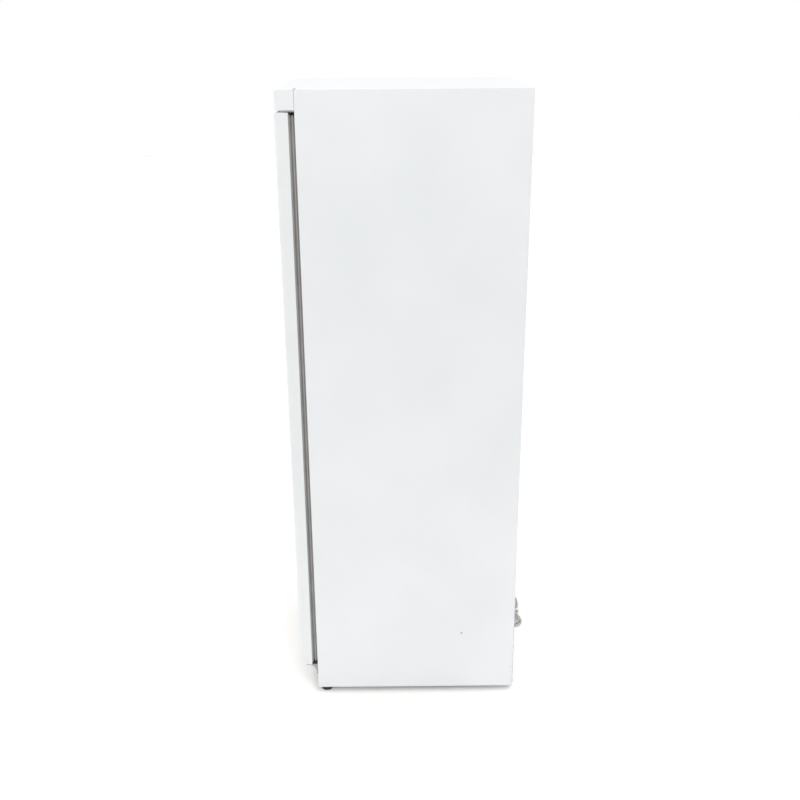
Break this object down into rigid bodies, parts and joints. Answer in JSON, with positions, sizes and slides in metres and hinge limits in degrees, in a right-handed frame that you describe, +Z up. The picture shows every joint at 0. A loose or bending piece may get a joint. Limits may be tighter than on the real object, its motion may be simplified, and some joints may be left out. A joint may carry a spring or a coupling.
{
  "type": "ice merchandiser freezer",
  "caption": "Upright glass-door freezer cabinet for bagged ice, with header, hinged door, wire shelves, ceiling evaporator, machine bay, feet, rollers and mains lead.",
  "frame": {"origin": "on the floor, in the middle of the footprint from the door handle to the gland of the mains lead; the lead itself does not count", "axes": "+Z up, door towards -Y, hinge side +X"},
  "size_m": [0.61, 0.7899, 1.822],
  "materials": {
    "white_enamel": "semi-gloss white coating over steel sheet",
    "galvanised": "zinc-coated sheet",
    "white_profile": "white powder coat on extruded profile",
    "glass": "clear double glazing",
    "spacer": "satin bar",
    "gasket": "soft grey vinyl",
    "glazing_seal": "black vinyl",
    "liner": "white formed plastic",
    "foam": "rigid foam",
    "zinc": "bright zinc plating",
    "white_wire": "epoxy-coated wire",
    "lamp_body": "satin anodised",
    "diffuser": "frosted plastic",
    "white_plastic": "smooth moulded plastic",
    "fins": "bare aluminium fins",
    "black_steel": "black enamel",
    "black_plastic": "fine-grained moulded plastic",
    "mount_rubber": "moulded rubber",
    "copper": "drawn copper tube",
    "cord": "white vinyl sheath",
    "plug": "white moulded vinyl",
    "brass_blade": "plain brass"
  },
  "bodies": {
    "cabinet": {"side_panel_left": "white_enamel", "side_panel_right": "white_enamel", "top_panel": "white_enamel", "rear_panel": "galvanised", "foam_insulation": "foam", "inner_liner": "liner", "breaker_frame": "white_plastic", "machine_bay_lining": "galvanised", "base_tray": "galvanised", "header_shell": "white_enamel", "header_face": "diffuser", "kick_grille": "white_enamel", "machine_cover": "galvanised", "panel_screws": "zinc", "hinge_brackets": "zinc", "hinge_bolts": "zinc", "hinge_stop": "black_plastic", "shelf_standards": "zinc", "light_bar_housing": "lamp_body", "light_bar_diffuser": "diffuser", "evaporator_cover": "white_plastic", "evaporator_coil": "fins", "fan_motors": "black_steel", "control_housing": "white_plastic", "compressor": "black_steel", "compressor_mounts": "mount_rubber", "compressor_terminal_box": "black_plastic", "condenser_coil": "fins", "condenser_shroud": "galvanised", "refrigerant_pipes": "copper", "evaporation_pan": "black_plastic", "roller_brackets": "galvanised", "cord_gland": "black_plastic", "cord_lead": "cord", "cord_hank": "cord", "cord_tie": "white_plastic", "plug_body": "plug", "plug_blades": "brass_blade"},
    "door": {"door_stile_handle": "white_profile", "door_stile_hinge": "white_profile", "door_rail_bottom": "white_profile", "door_rail_top": "white_profile", "door_glass": "glass", "glass_spacer": "spacer", "glazing_seals": "glazing_seal", "door_gasket": "gasket", "door_handle": "white_plastic", "hinge_bushes": "white_plastic"},
    "shelf_1": {"wire_shelf_1": "white_wire"},
    "shelf_2": {"wire_shelf_2": "white_wire"},
    "shelf_3": {"wire_shelf_3": "white_wire"},
    "shelf_4": {"wire_shelf_4": "white_wire"},
    "evaporator_rotor": {"evaporator_fan": "black_plastic"},
    "condenser_rotor": {"condenser_fan": "black_plastic"},
    "thermostat": {"thermostat_knob": "black_plastic"},
    "lamp_rocker": {"lamp_switch": "black_plastic"},
    "foot_left": {"front_foot_left": "black_plastic"},
    "foot_right": {"front_foot_right": "black_plastic"},
    "roller_left": {"rear_roller_left": "black_plastic"},
    "roller_right": {"rear_roller_right": "black_plastic"}
  },
  "joints": [
    {"name": "door_hinge", "type": "hinge", "parent": "cabinet", "child": "door", "pos_m": [0.294, -0.298, 0.936], "axis": [0, 0, 1], "range_deg": [0, 105]},
    {"name": "shelf_1_lift", "type": "slide", "parent": "cabinet", "child": "shelf_1", "axis": [0, 0, 1], "range_m": [0, 0.025]},
    {"name": "shelf_2_lift", "type": "slide", "parent": "cabinet", "child": "shelf_2", "axis": [0, 0, 1], "range_m": [0, 0.025]},
    {"name": "shelf_3_lift", "type": "slide", "parent": "cabinet", "child": "shelf_3", "axis": [0, 0, 1], "range_m": [0, 0.025]},
    {"name": "shelf_4_lift", "type": "slide", "parent": "cabinet", "child": "shelf_4", "axis": [0, 0, 1], "range_m": [0, 0.025]},
    {"name": "evaporator_fan_spin", "type": "hinge", "parent": "cabinet", "child": "evaporator_rotor", "pos_m": [-0.06, -0.046, 1.639], "axis": [0, 1, 0], "continuous": true},
    {"name": "condenser_fan_spin", "type": "hinge", "parent": "cabinet", "child": "condenser_rotor", "pos_m": [0.16, 0.194, 0.15], "axis": [0, 1, 0], "continuous": true},
    {"name": "thermostat_turn", "type": "hinge", "parent": "cabinet", "child": "thermostat", "pos_m": [0.142, -0.0844, 1.64], "axis": [0, 1, 0], "range_deg": [0, 270]},
    {"name": "lamp_switch_rock", "type": "hinge", "parent": "cabinet", "child": "lamp_rocker", "pos_m": [0.186, -0.079, 1.64], "axis": [1, 0, 0], "range_deg": [0, 8]},
    {"name": "foot_left_screw", "type": "slide", "parent": "cabinet", "child": "foot_left", "axis": [0, 0, -1], "range_m": [0, 0.012]},
    {"name": "foot_right_screw", "type": "slide", "parent": "cabinet", "child": "foot_right", "axis": [0, 0, -1], "range_m": [0, 0.012]},
    {"name": "roller_left_spin", "type": "hinge", "parent": "cabinet", "child": "roller_left", "pos_m": [-0.258, 0.3, 0.015], "axis": [1, 0, 0], "continuous": true},
    {"name": "roller_right_spin", "type": "hinge", "parent": "cabinet", "child": "roller_right", "pos_m": [0.258, 0.3, 0.015], "axis": [1, 0, 0], "continuous": true}
  ]
}
